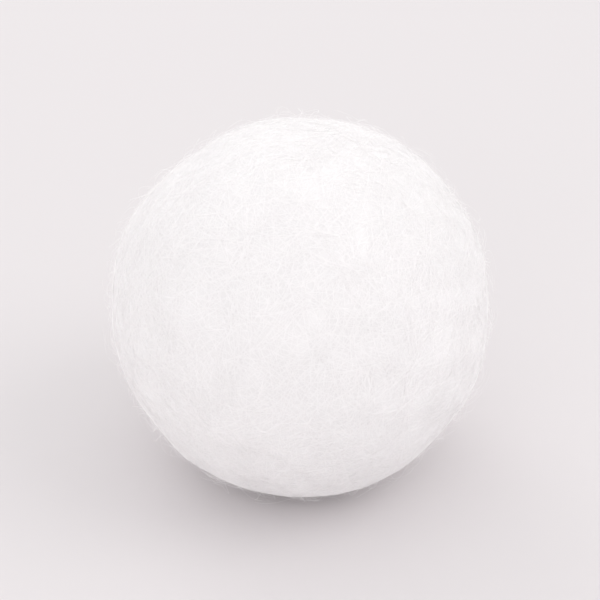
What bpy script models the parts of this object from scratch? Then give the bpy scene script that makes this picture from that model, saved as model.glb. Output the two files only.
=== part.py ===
"""A cotton ball at rest: a strip of carded cotton, rolled up and pressed round.

Metres, +Z up. The origin is on the surface that the ball lies on, below the middle
of its box. The strip is rolled up about the X axis, so a rolled end faces each way
along X, and the strip's loose tail is laid down on the back, across Y.
"""

import math

import bmesh
import bpy
from mathutils import Vector, noise

# The ball as it lies
BALL_WIDTH = 0.0370  # along X, before the rolled ends dip in
BALL_DEPTH = 0.0365  # along Y
BALL_HEIGHT = 0.0353  # along Z, from the surface it lies on

# The flat spot that its weight makes
REST_SPOT_WIDTH = 0.0100
REST_SPOT_EASE = 0.00025  # how high the round side starts to ease into the spot

# Sides that have been pressed a little flatter
PRESS_DEPTH = 0.0002
PRESS_EASE = 0.0012
UPPER_RIGHT = (23.0, 34.0)  # azimuth from +X and elevation of each side, in degrees
UPPER_LEFT = (152.0, 47.0)
LOWER_LEFT = (-152.0, -24.0)
LOWER_RIGHT = (-34.0, -31.0)
BACK_HIGH = (78.0, 28.0)
PRESSED_SIDES = (UPPER_RIGHT, UPPER_LEFT, LOWER_LEFT, LOWER_RIGHT, BACK_HIGH)

# Soft lumps where the fibre is bunched
LUMP_HEIGHT = 0.00035
LUMP_SPACING = 0.0120

# The shallow dimple in the middle of each rolled end
DIMPLE_DEPTH = 0.00045
DIMPLE_WIDTH = 0.0110

# The strip's loose tail, which lies down across the back
TAIL_HEIGHT = 0.00045
TAIL_LENGTH = 0.0160  # round the ball, over which it rises
TAIL_EDGE = 0.0025  # round the ball, over which it drops
TAIL_ANGLE = 52.0  # degrees from straight down, round X towards the back

# The cage that carries the form
CAGE_QUADS = 12  # along each side of the cube that the cage starts as
SMOOTHING_LEVELS = 1

COTTON_WHITE = (0.913, 0.871, 0.888, 1.0)
COTTON_ROUGHNESS = 0.95

DOWN = Vector((0, 0, -1))


def remove_old_objects():
    for old in list(bpy.data.objects):
        bpy.data.objects.remove(old)


def quad_width():
    """One side of a quad of the cage, of which four cube sides go round the ball."""
    return math.pi * BALL_DEPTH / (4 * CAGE_QUADS)


def settled_depth():
    """How far the round underside would reach below the surface it lies on.

    Smoothing rounds off the edge of the flat spot, so the cage's spot is a quad wider.
    """
    half_angle = math.asin((REST_SPOT_WIDTH + quad_width()) / BALL_DEPTH)
    level = math.cos(half_angle)
    return (BALL_HEIGHT * (1 - level) + 2 * REST_SPOT_EASE) / (1 + level)


def round_radii():
    """Half of each side of the ball before its weight flattens the underside."""
    return Vector((BALL_WIDTH, BALL_DEPTH, BALL_HEIGHT + settled_depth())) / 2


def reach_down():
    """How far below the ball's middle the surface it lies on is."""
    return round_radii().z - settled_depth()


def direction_to(side):
    azimuth, elevation = (math.radians(angle) for angle in side)
    level = math.cos(elevation)
    return Vector((level * math.cos(azimuth), level * math.sin(azimuth), math.sin(elevation)))


def lump(point):
    """Lumps are pressed even towards the surface that the ball lies on."""
    height = point.z + reach_down()
    share = min(max(height / LUMP_SPACING, 0), 1)
    return LUMP_HEIGHT * share * noise.noise(point / LUMP_SPACING)


def dimple(point):
    """The hollow in a rolled end, which fades out away from the roll's axis."""
    off_axis = math.hypot(point.y, point.z) / (DIMPLE_WIDTH / 2)
    return -DIMPLE_DEPTH * math.exp(-(off_axis**2))


def tail(direction):
    """The tail lies on the turn below it: a long rise round X, then a short drop."""
    turned = math.atan2(direction.y, -direction.z) - math.radians(TAIL_ANGLE)
    along = turned * BALL_DEPTH / 2
    fade = TAIL_EDGE if along > 0 else TAIL_LENGTH
    towards_middle = 1 - direction.x**2
    return TAIL_HEIGHT * towards_middle * math.exp(-((along / fade) ** 2))


def pressed(point, facing, reach, ease):
    """Moves a point back to a flat at this reach, with a round ease into the flat."""
    inside = reach - point.dot(facing)
    if inside >= ease:
        return point
    eased = max(inside + ease, 0) ** 2 / (4 * ease)
    return point + facing * (inside - eased)


def shaped(direction):
    """Where the ball's surface lies in this direction from its middle."""
    radii = round_radii()
    point = direction * radii
    point += direction * (lump(point) + dimple(point) + tail(direction))
    for side in PRESSED_SIDES:
        facing = direction_to(side)
        point = pressed(point, facing, (facing * radii).length - PRESS_DEPTH, PRESS_EASE)
    return pressed(point, DOWN, reach_down(), REST_SPOT_EASE)


def round_cage():
    """A cube with its sides divided evenly by angle and drawn out round."""
    cage = bmesh.new()
    bmesh.ops.create_cube(cage, size=2)
    bmesh.ops.subdivide_edges(cage, edges=cage.edges[:], cuts=CAGE_QUADS - 1, use_grid_fill=True)
    for vert in cage.verts:
        angles = vert.co * math.pi / 4
        vert.co = Vector(math.tan(angle) for angle in angles).normalized()
    return cage


def stand_on_origin(cage):
    """Puts the middle of the box over the origin, and the flat spot at zero height."""
    lowest = Vector(min(vert.co[axis] for vert in cage.verts) for axis in range(3))
    highest = Vector(max(vert.co[axis] for vert in cage.verts) for axis in range(3))
    middle = (lowest + highest) / 2
    for vert in cage.verts:
        vert.co -= Vector((middle.x, middle.y, lowest.z))


def cotton_material():
    material = bpy.data.materials.new("cotton")
    material.use_nodes = True
    shader = material.node_tree.nodes["Principled BSDF"]
    shader.inputs["Base Color"].default_value = COTTON_WHITE
    shader.inputs["Roughness"].default_value = COTTON_ROUGHNESS
    shader.inputs["Metallic"].default_value = 0.0
    return material


def make_cotton_ball(collection):
    cage = round_cage()
    for vert in cage.verts:
        vert.co = shaped(vert.co)
    stand_on_origin(cage)

    mesh = bpy.data.meshes.new("cotton_ball")
    cage.to_mesh(mesh)
    cage.free()
    mesh.shade_smooth()
    mesh.materials.append(cotton_material())

    ball = bpy.data.objects.new("cotton_ball", mesh)
    collection.objects.link(ball)
    smoothing = ball.modifiers.new("smoothing", "SUBSURF")
    smoothing.levels = SMOOTHING_LEVELS
    smoothing.render_levels = SMOOTHING_LEVELS
    smoothing.use_limit_surface = False  # which keeps more of the flat spot flat


def main():
    remove_old_objects()
    collection = bpy.data.collections.new("cotton ball")
    bpy.context.scene.collection.children.link(collection)
    make_cotton_ball(collection)


main()
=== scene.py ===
"""The looks of a cotton ball: a soft wad of rolled white fibre, on a pale floor.

Metres, +Z up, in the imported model's frame. The strip of cotton is rolled up about the
X axis. One closed wad makes the ball's surface. Thousands of fine fibres lie matted in
it, more of them round the roll than across it, and thousands of shorter ones stand a
little off it as a low fuzz.
"""

import math

import bmesh
import bpy
import numpy as np
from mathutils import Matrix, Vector
from mathutils.bvhtree import BVHTree


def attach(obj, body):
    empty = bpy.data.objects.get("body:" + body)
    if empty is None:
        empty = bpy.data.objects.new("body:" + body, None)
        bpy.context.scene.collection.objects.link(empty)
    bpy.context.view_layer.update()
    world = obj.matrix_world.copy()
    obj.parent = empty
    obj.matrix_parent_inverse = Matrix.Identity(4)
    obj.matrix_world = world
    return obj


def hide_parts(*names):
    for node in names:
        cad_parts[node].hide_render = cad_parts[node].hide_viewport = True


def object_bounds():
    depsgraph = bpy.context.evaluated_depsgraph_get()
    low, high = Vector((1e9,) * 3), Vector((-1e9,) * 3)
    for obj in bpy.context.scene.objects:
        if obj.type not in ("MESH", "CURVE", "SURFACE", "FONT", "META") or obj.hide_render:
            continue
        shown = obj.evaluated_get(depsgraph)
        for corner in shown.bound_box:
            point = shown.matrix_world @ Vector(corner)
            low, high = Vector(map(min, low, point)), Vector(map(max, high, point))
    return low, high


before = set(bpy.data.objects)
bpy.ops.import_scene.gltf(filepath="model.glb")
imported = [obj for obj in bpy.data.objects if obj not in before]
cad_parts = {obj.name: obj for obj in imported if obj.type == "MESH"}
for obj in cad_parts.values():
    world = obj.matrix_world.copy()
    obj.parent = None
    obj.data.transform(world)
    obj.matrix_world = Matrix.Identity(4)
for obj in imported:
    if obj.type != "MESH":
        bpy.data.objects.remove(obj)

cad_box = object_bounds()

MM = 0.001
ROLL_AXIS = np.array([1.0, 0.0, 0.0])
MIDDLE = np.array(cad_box[0] + cad_box[1]) / 2
MEAN_RADIUS = float(np.mean(cad_box[1] - cad_box[0])) / 2
SIDE_ANGLE = math.pi / 2  # that each of a cube's six sides covers, seen from its middle

# The smooth random waves that shape the tufts and the turns
WAVE_COUNT = 28
WAVE_LENGTHS = (0.8, 1.3)  # the shortest and the longest, as shares of their spacing

# The wad's surface
WAD_QUADS = 128  # along each side of the cube that it is drawn out from
TUFT_SPACING = 4.5 * MM
TUFT_HEIGHT = 0.035 * MM
TUFT_SEED = 4

# The strip's turns, which show faintly at the rolled ends
TURN_SPACING = 3.2 * MM
TURN_DEPTH = 0.11 * MM
TURN_WIDTH = 0.55 * MM
TURNS_START = 0.78  # how far out along the roll's axis the turns begin to show
TURNS_FULL = 0.95
TURN_WANDER = 0.40 * MM  # how far a turn strays from its spiral
WANDER_SPACING = 2 * TURN_SPACING
WANDER_SEED = 5
PATCH_SPACING = 2 * TURN_SPACING
PATCH_HIDDEN = -1.5  # the wave at which a turn doesn't show
PATCH_CLEAR = 1.0  # and at which it shows most
PATCH_SEED = 6

# The wad's grain of finer fibre
GRAIN_WIDTH = 0.30 * MM
GRAIN_STRETCH = 8.0  # how much longer the grain is round the roll than across it
GRAIN_DEPTH = 0.04 * MM
GRAIN_DETAIL = 3.0
GRAIN_STRENGTH = 0.5

# The fibres, which have the same number in each piece
FIBRE_COUNT = 4150
FIBRE_STEPS = 8
FIBRE_SIDES = 4
FIBRE_FLATNESS = 0.35  # a fibre's thickness as a share of its width
LENGTH_SPREAD = (0.6, 1.4)  # the shortest and the longest, as shares of the usual length
WIDTH_SPREAD = (0.7, 1.25)
CURL_KEPT = 0.7  # how much of its turning a fibre carries on to the next step
TUCKED_DEPTH = 0.03 * MM  # how deep a fibre's end is buried in the wad

# Those that lie matted in the wad
MATTED_LENGTH = 9.0 * MM
MATTED_WIDTH = 0.036 * MM
MATTED_HEIGHT = 0.055 * MM
MATTED_CURL = 0.22  # radians that a fibre turns aside at each step
MATTED_ARCH = 0.5  # a power under one, which lifts a fibre soon after its tucked end
MATTED_LOWNESS = 1.5  # a power over one, which leaves more of the fibres low
MATTED_WEAVE = 0.25  # how far each step strays up or down, as a share of the height

# How strongly the matted fibres of each piece keep to the roll's way round
ROLLED_SHARE = 1.6
SLANTED_SHARE = 0.8
CROSSED_SHARE = 0.2
ROLLED_SEED = 21
SLANTED_SEED = 22
CROSSED_SEED = 23

# Those that stand off the wad
LOOSE_LENGTH = 3.4 * MM
LOOSE_WIDTH = 0.022 * MM
LOOSE_HEIGHT = 0.30 * MM  # a typical one's, from which a few stand off further
LOOSE_HIGHEST = 1.1 * MM
LOOSE_CURL = 0.35
LOOSE_SHARE = 0.5
LOOSE_TOP = (0.5, 1.0)  # how far along a fibre its highest place is, at least and at most
LOOSE_RISE = 1.2  # a power over one, which has a fibre leave the wad at a low angle
LOOSE_SEED = 24

# Colours, in linear light
FIBRE_WHITE = (0.981, 0.964, 0.969, 1.0)
FIBRE_SHADE = (0.963, 0.946, 0.951, 1.0)
WAD_WHITE = (0.906, 0.887, 0.893, 1.0)
WAD_SHADE = (0.888, 0.869, 0.875, 1.0)
FLOOR_COLOUR = (0.728, 0.697, 0.707, 1.0)
WORLD_WHITE = (1.0, 1.0, 1.0, 1.0)
LIGHT_COLOUR = (1.0, 0.985, 0.975)

# The shift in white and in roughness from tuft to tuft
CLOUD_LOW = 0.35  # the noise at which the cotton has its shade, and is roughest
CLOUD_HIGH = 0.65  # and at which it has its white, and is least rough
CLOUD_DETAIL = 4.0
CLOUD_ROUGHNESS = 0.6
ROUGHEST = 0.97
LEAST_ROUGH = 0.86

# How the cotton and the floor take light
COTTON_SPECULAR = 0.2
SINK_WEIGHT = 0.6  # the share of the light that sinks into the wad
SINK_RADIUS = (1.0, 1.0, 1.0)  # which is the same for red, green and blue
SINK_SCALE = 0.8 * MM
SHEEN_WEIGHT = 0.12
SHEEN_ROUGHNESS = 0.6
FLOOR_SPECULAR = 0.1
FLOOR_ROUGHNESS = 0.9

# The map of the ball's six sides, in three columns and two rows
MAP_COLUMNS = 3
MAP_ROWS = 2
MAP_FILL = 0.9  # of a cell, so that a fibre which crosses to the next side has room
CELL_MIDDLE = 0.5  # across a cell and up it

# The view
CAMERA_ELEVATION = 30.0  # degrees
CAMERA_LENS = 100.0  # in millimetres, as is the sensor
CAMERA_SENSOR = 36.0
BALL_SHARE = 0.62  # of the picture's width
FLOOR_SIZE = 4.0
NEAREST_SEEN = 0.01  # as a share of the camera's distance from the ball
FURTHEST_SEEN = 10 * FLOOR_SIZE

# The light, with lamps in watts and the spread of their beams in degrees
WORLD_STRENGTH = 1.0
KEY_POWER = 0.31
KEY_SIZE = 0.30
KEY_PLACE = (0.29, -0.08, 0.33)
FILL_POWER = 0.082
FILL_SIZE = 0.40
FILL_PLACE = (-0.18, -0.43, 0.09)
FILL_SPREAD = 70.0  # which keeps its light off the floor under it
BACK_POWER = 0.27
BACK_SIZE = 0.30
BACK_PLACE = (-0.20, 0.36, 0.30)
OPEN_SPREAD = 180.0  # with nothing to narrow the beam


def unit(vectors):
    return vectors / np.linalg.norm(vectors, axis=-1, keepdims=True)


def smooth_step(values, start, end):
    """Rises from zero at the start to one at the end, and is level at both."""
    share = np.clip((values - start) / (end - start), 0, 1)
    return share * share * (3 - 2 * share)


def surface_tree():
    """The CAD ball's faces, ready to cast rays at."""
    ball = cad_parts["cotton_ball"]
    corners = [ball.matrix_world @ vertex.co for vertex in ball.data.vertices]
    return BVHTree.FromPolygons(corners, [face.vertices for face in ball.data.polygons])


BALL_TREE = surface_tree()


def reach(directions):
    """How far the CAD ball's surface is from its middle, in each direction."""
    middle = Vector(MIDDLE)
    return np.array([BALL_TREE.ray_cast(middle, Vector(way))[3] for way in directions])


def waves(points, spacing, seed):
    """A smooth random field with a spread of one, whose bumps are about this far apart."""
    random = np.random.default_rng(seed)
    ways = unit(random.normal(size=(WAVE_COUNT, 3)))
    pace = 2 * math.pi / (spacing * random.uniform(*WAVE_LENGTHS, (WAVE_COUNT, 1)))
    turned = points @ (ways * pace).T + random.uniform(0, 2 * math.pi, WAVE_COUNT)
    return np.sin(turned).sum(1) / math.sqrt(WAVE_COUNT / 2)


def turn_furrows(directions, points):
    """The spiral furrow between the strip's turns, which shows at the rolled ends."""
    off = points - MIDDLE
    wander = TURN_WANDER * waves(points, WANDER_SPACING, WANDER_SEED)
    distance = np.hypot(off[:, 1], off[:, 2]) + wander
    angle = np.arctan2(off[:, 2], off[:, 1])
    turn = distance / TURN_SPACING - angle / (2 * math.pi)
    from_furrow = (turn - np.round(turn)) * TURN_SPACING
    patchy = smooth_step(waves(points, PATCH_SPACING, PATCH_SEED), PATCH_HIDDEN, PATCH_CLEAR)
    shown = patchy * smooth_step(np.abs(directions @ ROLL_AXIS), TURNS_START, TURNS_FULL)
    return -TURN_DEPTH * shown * np.exp(-((from_furrow / TURN_WIDTH) ** 2))


def on_the_ball(directions, height=0.0):
    """Places over the wad's surface, in each direction and at this height above it."""
    bare = MIDDLE + directions * reach(directions)[:, None]
    tufts = TUFT_HEIGHT * waves(bare, TUFT_SPACING, TUFT_SEED)
    relief = tufts + turn_furrows(directions, bare)
    return bare + directions * (relief + height)[:, None]


def above_floor(points, clearance=0.0):
    """Lifts each point that is lower than this to this height above the floor."""
    points[:, 2] = np.maximum(points[:, 2], clearance)
    return points


def read_all(items, name, width, kind=np.float32):
    """One value of every item of a mesh, as an array with this many columns."""
    values = np.empty(len(items) * width, kind)
    items.foreach_get(name, values)
    return values.reshape(-1, width)


def map_by_side(mesh):
    """Lays each face in the cell of the map that belongs to the side of the ball it is on."""
    from_middle = read_all(mesh.polygons, "center", 3) - MIDDLE
    axis = np.abs(from_middle).argmax(1)
    low_side = np.take_along_axis(from_middle, axis[:, None], 1)[:, 0] < 0
    corners = read_all(mesh.polygons, "loop_total", 1, np.int32)[:, 0]
    axis, low_side = np.repeat(axis, corners), np.repeat(low_side, corners)

    vertex_of = read_all(mesh.loops, "vertex_index", 1, np.int32)[:, 0]
    place = read_all(mesh.vertices, "co", 3)[vertex_of] - MIDDLE
    out = np.abs(np.take_along_axis(place, axis[:, None], 1)[:, 0])
    flat = np.empty((len(place), 2), np.float32)
    for column, step in enumerate((1, 2)):
        aside = np.take_along_axis(place, ((axis + step) % 3)[:, None], 1)[:, 0]
        flat[:, column] = np.arctan(aside / out) / SIDE_ANGLE
    cell = np.stack([axis, low_side], 1)
    layout = (cell + CELL_MIDDLE + MAP_FILL * flat) / (MAP_COLUMNS, MAP_ROWS)
    baked = mesh.uv_layers.new(name="OFBake")
    baked.data.foreach_set("uv", layout.astype(np.float32).ravel())


def add_piece(name, mesh, material):
    """One piece of the ball's looks, which rides on the ball."""
    mesh.materials.append(material)
    map_by_side(mesh)
    piece = bpy.data.objects.new(name, mesh)
    bpy.context.scene.collection.objects.link(piece)
    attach(piece, "root")
    return piece


def make_wad(material):
    """The closed surface of the ball: a finely divided cube drawn out on to the CAD ball."""
    cage = bmesh.new()
    bmesh.ops.create_cube(cage, size=2)
    bmesh.ops.subdivide_edges(cage, edges=cage.edges[:], cuts=WAD_QUADS - 1, use_grid_fill=True)
    mesh = bpy.data.meshes.new("cotton_wad")
    cage.to_mesh(mesh)
    cage.free()
    directions = unit(np.tan(read_all(mesh.vertices, "co", 3) * SIDE_ANGLE / 2))
    mesh.vertices.foreach_set("co", above_floor(on_the_ball(directions)).ravel())
    mesh.shade_smooth()
    wad = add_piece("cotton_wad", mesh, material)
    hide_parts("cotton_ball")


def tangent(vectors, directions):
    """The part of each vector that lies along the ball's surface, at unit length."""
    return unit(vectors - (vectors * directions).sum(-1, keepdims=True) * directions)


def wandering(random, length, curl, roll_share):
    """Paths over the ball, as directions from its middle, which curl as they go.

    A high roll_share keeps them to the roll's way round, and zero lets them go anywhere.
    """
    here = unit(random.normal(size=(FIBRE_COUNT, 3)))
    round_roll = np.cross(ROLL_AXIS, here) * random.choice((-1.0, 1.0), (FIBRE_COUNT, 1))
    heading = tangent(roll_share * round_roll + random.normal(size=here.shape), here)
    lengths = length * random.uniform(*LENGTH_SPREAD, (FIBRE_COUNT, 1))
    stride = lengths / (FIBRE_STEPS - 1) / MEAN_RADIUS
    turning = curl * random.normal(size=(FIBRE_COUNT, 1))
    path = [here]
    for _ in range(FIBRE_STEPS - 1):
        sideways = np.cross(here, heading)
        heading = heading * np.cos(turning) + sideways * np.sin(turning)
        here = unit(here + heading * stride)
        heading = tangent(heading, here)
        turning = CURL_KEPT * (turning + curl * random.normal(size=(FIBRE_COUNT, 1)))
        path.append(here)
    return np.stack(path, 1)


def rings_along(paths, widths):
    """The corners of each fibre: one point, a ring at every step between, and one point.

    A fibre is a flat ribbon, and a broad side of it faces away from the ball.
    """
    count = len(paths)
    along = unit(np.gradient(paths, axis=1))[:, 1:-1]
    across = unit(np.cross(along, (paths - MIDDLE)[:, 1:-1]))
    over = np.cross(across, along)
    face_out = math.pi / 2 - math.pi / FIBRE_SIDES
    turn = face_out + 2 * math.pi * np.arange(FIBRE_SIDES)[:, None] / FIBRE_SIDES
    thickness = FIBRE_FLATNESS * np.sin(turn)
    ring = across[:, :, None] * np.cos(turn) + over[:, :, None] * thickness
    corner_reach = widths / 2 / math.cos(face_out)
    rings = paths[:, 1:-1, None] + ring * corner_reach[:, None, None, None]
    return np.concatenate([paths[:, :1], rings.reshape(count, -1, 3), paths[:, -1:]], 1)


def fibre_triangles():
    """Corner numbers of one fibre's triangles, for the corners of rings_along."""
    side = np.arange(FIBRE_SIDES)
    after = (side + 1) % FIBRE_SIDES
    ring_count = FIBRE_STEPS - 2
    ring_start = 1 + FIBRE_SIDES * np.arange(ring_count - 1)[:, None]
    near, near_after = ring_start + side, ring_start + after
    far, far_after = near + FIBRE_SIDES, near_after + FIBRE_SIDES
    last_ring = 1 + FIBRE_SIDES * (ring_count - 1)
    last_point = np.full(FIBRE_SIDES, last_ring + FIBRE_SIDES)
    return np.concatenate([
        np.stack([near, near_after, far], -1).reshape(-1, 3),
        np.stack([near_after, far_after, far], -1).reshape(-1, 3),
        np.stack([np.zeros(FIBRE_SIDES, int), 1 + after, 1 + side], -1),
        np.stack([last_point, last_ring + side, last_ring + after], -1),
    ])


def fibre_mesh(name, paths, widths):
    """Thin closed ribbons along the paths, each drawn to a point at both ends."""
    corners = rings_along(paths, widths)
    first_corner = corners.shape[1] * np.arange(len(paths))
    points = corners.reshape(-1, 3)
    triangles = (fibre_triangles() + first_corner[:, None, None]).reshape(-1, 3)
    mesh = bpy.data.meshes.new(name)
    mesh.vertices.add(len(points))
    mesh.vertices.foreach_set("co", points.ravel())
    mesh.loops.add(triangles.size)
    mesh.loops.foreach_set("vertex_index", triangles.astype(np.int32).ravel())
    mesh.polygons.add(len(triangles))
    mesh.polygons.foreach_set("loop_start", np.arange(0, triangles.size, 3, dtype=np.int32))
    mesh.update(calc_edges=True)
    mesh.shade_flat()
    return mesh


def add_fibres(name, material, random, ways, height, width):
    """One piece of fibres, along these directions and at these heights above the wad."""
    places = on_the_ball(ways.reshape(-1, 3), height.ravel())
    paths = above_floor(places, width / 2).reshape(ways.shape)
    widths = width * random.uniform(*WIDTH_SPREAD, FIBRE_COUNT)
    add_piece(name, fibre_mesh(name, paths, widths), material)


def make_matted(name, material, seed, roll_share):
    """Fibres that lie in the wad's surface, with both ends tucked into it."""
    random = np.random.default_rng(seed)
    ways = wandering(random, MATTED_LENGTH, MATTED_CURL, roll_share)
    arch = np.sin(math.pi * np.linspace(0, 1, FIBRE_STEPS)) ** MATTED_ARCH
    tallest = random.uniform(0, 1, (FIBRE_COUNT, 1)) ** MATTED_LOWNESS
    weave = MATTED_WEAVE * random.normal(size=(FIBRE_COUNT, FIBRE_STEPS))
    height = MATTED_HEIGHT * arch * (tallest + weave) - TUCKED_DEPTH * (1 - arch)
    add_fibres(name, material, random, ways, height, MATTED_WIDTH)


def make_loose(name, material, seed):
    """Short fibres that stand off the ball as a fine fuzz, most of them very low.

    Some bow back down to the wad, and the others end in the air.
    """
    random = np.random.default_rng(seed)
    ways = wandering(random, LOOSE_LENGTH, LOOSE_CURL, LOOSE_SHARE)
    share = np.linspace(0, 1, FIBRE_STEPS)
    tallest = np.minimum(random.exponential(LOOSE_HEIGHT, (FIBRE_COUNT, 1)), LOOSE_HIGHEST)
    top_share = random.uniform(*LOOSE_TOP, (FIBRE_COUNT, 1))
    rise = np.sin(math.pi / 2 * share / top_share) ** LOOSE_RISE
    height = tallest * rise - TUCKED_DEPTH * (share == 0)
    add_fibres(name, material, random, ways, height, LOOSE_WIDTH)


def make_fibres():
    """All the fibres, from those that keep to the roll to those that stand off the ball."""
    material = fibre_material()
    make_matted("rolled_fibres", material, ROLLED_SEED, ROLLED_SHARE)
    make_matted("slanted_fibres", material, SLANTED_SEED, SLANTED_SHARE)
    make_matted("crossed_fibres", material, CROSSED_SEED, CROSSED_SHARE)
    make_loose("loose_fibres", material, LOOSE_SEED)


def new_material(name):
    material = bpy.data.materials.new(name)
    material.use_nodes = True
    return material, material.node_tree.nodes["Principled BSDF"]


def cloudy_white(material, shader, shade, white):
    """White and roughness that shift a little from tuft to tuft of the cotton."""
    nodes, links = material.node_tree.nodes, material.node_tree.links
    place = nodes.new("ShaderNodeTexCoord")
    cloud = nodes.new("ShaderNodeTexNoise")
    cloud.inputs["Scale"].default_value = 1 / TUFT_SPACING
    cloud.inputs["Detail"].default_value = CLOUD_DETAIL
    cloud.inputs["Roughness"].default_value = CLOUD_ROUGHNESS
    links.new(place.outputs["Object"], cloud.inputs["Vector"])
    share = nodes.new("ShaderNodeMapRange")
    share.inputs["From Min"].default_value = CLOUD_LOW
    share.inputs["From Max"].default_value = CLOUD_HIGH
    links.new(cloud.outputs["Fac"], share.inputs["Value"])
    tint = nodes.new("ShaderNodeMix")
    tint.data_type = "RGBA"
    tint.inputs["A"].default_value = shade
    tint.inputs["B"].default_value = white
    links.new(share.outputs["Result"], tint.inputs["Factor"])
    links.new(tint.outputs["Result"], shader.inputs["Base Color"])
    rough = nodes.new("ShaderNodeMapRange")
    rough.inputs["To Min"].default_value = ROUGHEST
    rough.inputs["To Max"].default_value = LEAST_ROUGH
    links.new(share.outputs["Result"], rough.inputs["Value"])
    links.new(rough.outputs["Result"], shader.inputs["Roughness"])


def add_grain(material, shader):
    """A fine bump of fibre, drawn out round the roll."""
    nodes, links = material.node_tree.nodes, material.node_tree.links
    place = nodes.new("ShaderNodeTexCoord")
    stretch = nodes.new("ShaderNodeMapping")
    stretch.inputs["Scale"].default_value = (1.0, 1 / GRAIN_STRETCH, 1 / GRAIN_STRETCH)
    links.new(place.outputs["Object"], stretch.inputs["Vector"])
    grain = nodes.new("ShaderNodeTexNoise")
    grain.inputs["Scale"].default_value = 1 / GRAIN_WIDTH
    grain.inputs["Detail"].default_value = GRAIN_DETAIL
    links.new(stretch.outputs["Vector"], grain.inputs["Vector"])
    bump = nodes.new("ShaderNodeBump")
    bump.inputs["Strength"].default_value = GRAIN_STRENGTH
    bump.inputs["Distance"].default_value = GRAIN_DEPTH
    links.new(grain.outputs["Fac"], bump.inputs["Height"])
    links.new(bump.outputs["Normal"], shader.inputs["Normal"])


def wad_material():
    """Matted cotton. Light sinks in and comes out near by, and the fuzz has a faint sheen."""
    material, shader = new_material("matted cotton")
    cloudy_white(material, shader, WAD_SHADE, WAD_WHITE)
    add_grain(material, shader)
    shader.inputs["Specular IOR Level"].default_value = COTTON_SPECULAR
    shader.inputs["Subsurface Weight"].default_value = SINK_WEIGHT
    shader.inputs["Subsurface Radius"].default_value = SINK_RADIUS
    shader.inputs["Subsurface Scale"].default_value = SINK_SCALE
    shader.inputs["Sheen Weight"].default_value = SHEEN_WEIGHT
    shader.inputs["Sheen Roughness"].default_value = SHEEN_ROUGHNESS
    return material


def fibre_material():
    """Single cotton fibres: matte, and a little whiter than the matted wad under them."""
    material, shader = new_material("cotton fibre")
    cloudy_white(material, shader, FIBRE_SHADE, FIBRE_WHITE)
    shader.inputs["Specular IOR Level"].default_value = COTTON_SPECULAR
    return material


def floor_material():
    material, shader = new_material("pale floor")
    shader.inputs["Base Color"].default_value = FLOOR_COLOUR
    shader.inputs["Roughness"].default_value = FLOOR_ROUGHNESS
    shader.inputs["Specular IOR Level"].default_value = FLOOR_SPECULAR
    return material


def make_floor():
    half = FLOOR_SIZE / 2
    corners = [(-half, -half, 0), (half, -half, 0), (half, half, 0), (-half, half, 0)]
    mesh = bpy.data.meshes.new("floor")
    mesh.from_pydata(corners, [], [range(len(corners))])
    mesh.materials.append(floor_material())
    floor = bpy.data.objects.new("floor", mesh)
    bpy.context.scene.collection.objects.link(floor)


def seen_share(nodes, links):
    """One for what the camera sees, straight or by a gloss or through glass, and else zero."""
    path = nodes.new("ShaderNodeLightPath")
    share = path.outputs["Is Camera Ray"]
    for ray in ("Is Glossy Ray", "Is Transmission Ray"):
        either = nodes.new("ShaderNodeMath")
        either.operation = "ADD"
        either.use_clamp = True
        links.new(share, either.inputs[0])
        links.new(path.outputs[ray], either.inputs[1])
        share = either.outputs["Value"]
    return share


def make_world():
    """Even light from all round, which the camera sees in the floor's colour."""
    world = bpy.data.worlds.new("studio")
    bpy.context.scene.world = world
    world.use_nodes = True
    nodes, links = world.node_tree.nodes, world.node_tree.links
    lighting = nodes["Background"]
    lighting.inputs["Color"].default_value = WORLD_WHITE
    lighting.inputs["Strength"].default_value = WORLD_STRENGTH
    seen = nodes.new("ShaderNodeBackground")
    seen.inputs["Color"].default_value = FLOOR_COLOUR
    mix = nodes.new("ShaderNodeMixShader")
    links.new(seen_share(nodes, links), mix.inputs["Fac"])
    links.new(lighting.outputs["Background"], mix.inputs[1])
    links.new(seen.outputs["Background"], mix.inputs[2])
    links.new(mix.outputs["Shader"], nodes["World Output"].inputs["Surface"])


def aim(thing, target):
    """Turns a camera or a lamp to face this place."""
    thing.rotation_euler = (Vector(target) - thing.location).to_track_quat("-Z", "Y").to_euler()


def make_lamp(name, place, size, power, spread=OPEN_SPREAD):
    """A soft round studio lamp that faces the ball."""
    light = bpy.data.lights.new(name, "AREA")
    light.shape = "DISK"
    light.size = size
    light.energy = power
    light.spread = math.radians(spread)
    light.color = LIGHT_COLOUR
    lamp = bpy.data.objects.new(name, light)
    lamp.location = place
    aim(lamp, MIDDLE)
    bpy.context.scene.collection.objects.link(lamp)


def make_lamps():
    make_lamp("key", KEY_PLACE, KEY_SIZE, KEY_POWER)
    make_lamp("fill", FILL_PLACE, FILL_SIZE, FILL_POWER, FILL_SPREAD)
    make_lamp("back", BACK_PLACE, BACK_SIZE, BACK_POWER)


def make_camera():
    """A camera that looks down on the ball, which fills its share of the picture."""
    data = bpy.data.cameras.new("camera")
    data.lens = CAMERA_LENS
    data.sensor_width = CAMERA_SENSOR
    camera = bpy.data.objects.new("camera", data)
    bpy.context.scene.collection.objects.link(camera)
    elevation = math.radians(CAMERA_ELEVATION)
    way_back = Vector((0, -math.cos(elevation), math.sin(elevation)))
    distance = 2 * MEAN_RADIUS / BALL_SHARE * CAMERA_LENS / CAMERA_SENSOR
    camera.location = Vector(MIDDLE) + way_back * distance
    data.clip_start = NEAREST_SEEN * distance
    data.clip_end = FURTHEST_SEEN
    aim(camera, MIDDLE)
    bpy.context.scene.camera = camera


bpy.context.scene.view_settings.view_transform = "Standard"
make_camera()
make_world()
make_lamps()
make_floor()
make_wad(wad_material())
make_fibres()
